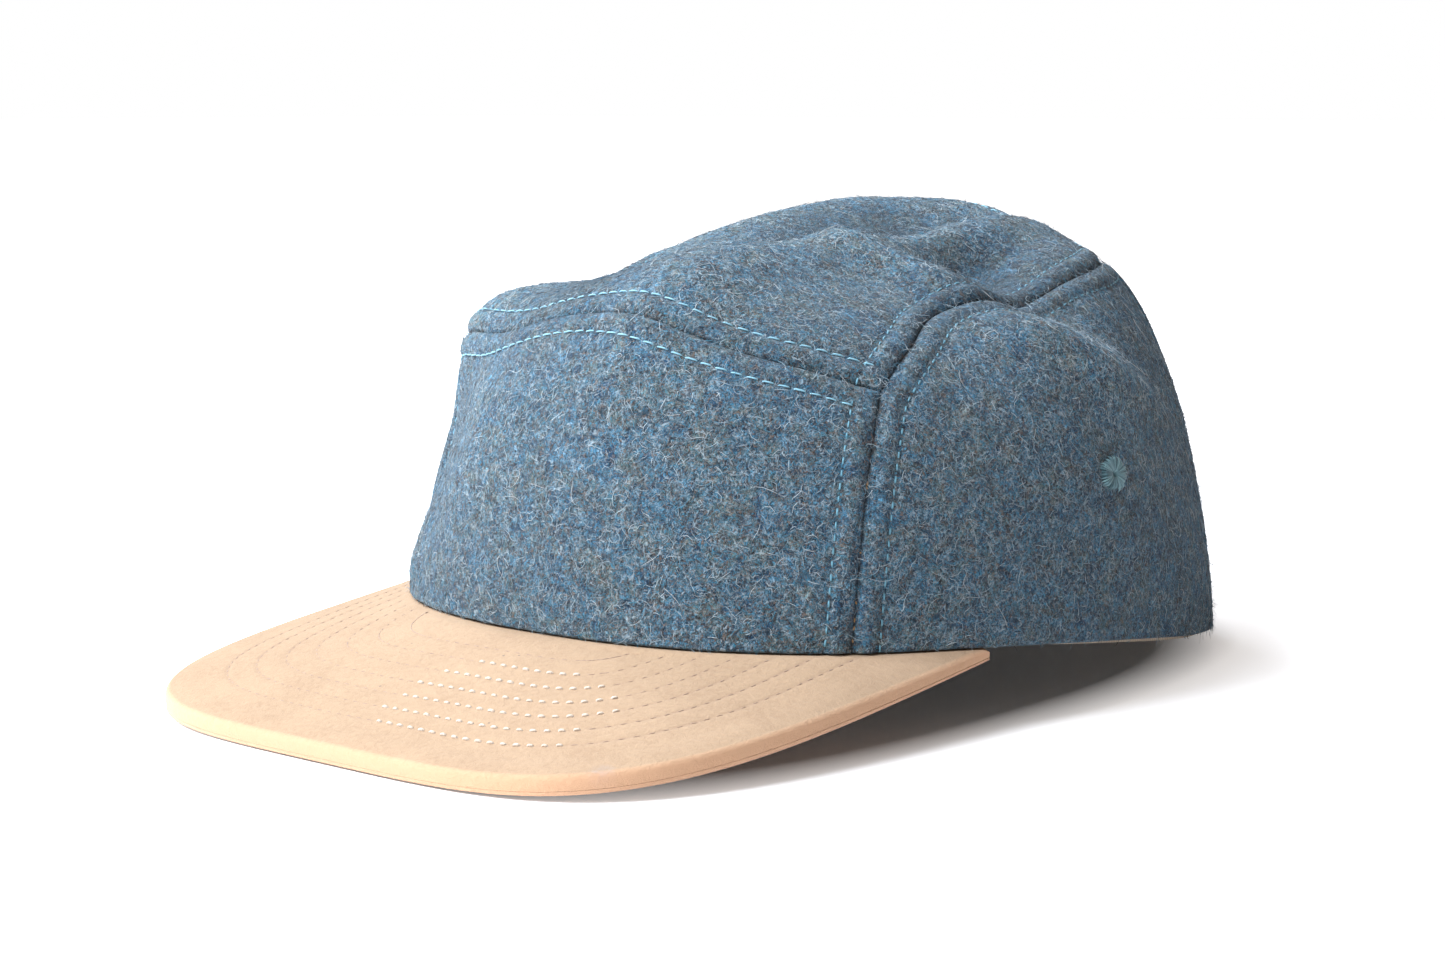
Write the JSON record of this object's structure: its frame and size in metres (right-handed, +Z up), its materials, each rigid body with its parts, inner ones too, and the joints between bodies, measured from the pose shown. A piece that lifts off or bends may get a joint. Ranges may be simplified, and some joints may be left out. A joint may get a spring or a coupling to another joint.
{
  "type": "five-panel cap",
  "caption": "Soft brushed wool cap with a wide front panel, a flat suede peak and an adjustable strap across an arched opening at the nape.",
  "frame": {"origin": "middle of the footprint, on the surface that the cap rests on", "axes": "+Z up, the peak points to -Y and the wearer's left side is +X"},
  "size_m": [0.1776, 0.2602, 0.1104],
  "materials": {
    "wool": "brushed heathered wool, fuzzy and matte",
    "suede": "pale peach suede, soft nap",
    "suede_under": "pinkish suede, soft nap",
    "band_cloth": "plain tan cotton",
    "thread": "embroidery thread, soft sheen",
    "strap_suede": "tan suede",
    "clasp_brass": "brushed"
  },
  "bodies": {
    "root": {"front_panel": "wool", "top_panel": "wool", "side_panel_left": "wool", "side_panel_right": "wool", "back_panel": "wool", "peak_top": "suede", "peak_under": "suede_under", "sweatband": "band_cloth", "eyelet_left": "thread", "eyelet_right": "thread", "strap": "strap_suede", "clasp": "clasp_brass"}
  },
  "joints": []
}
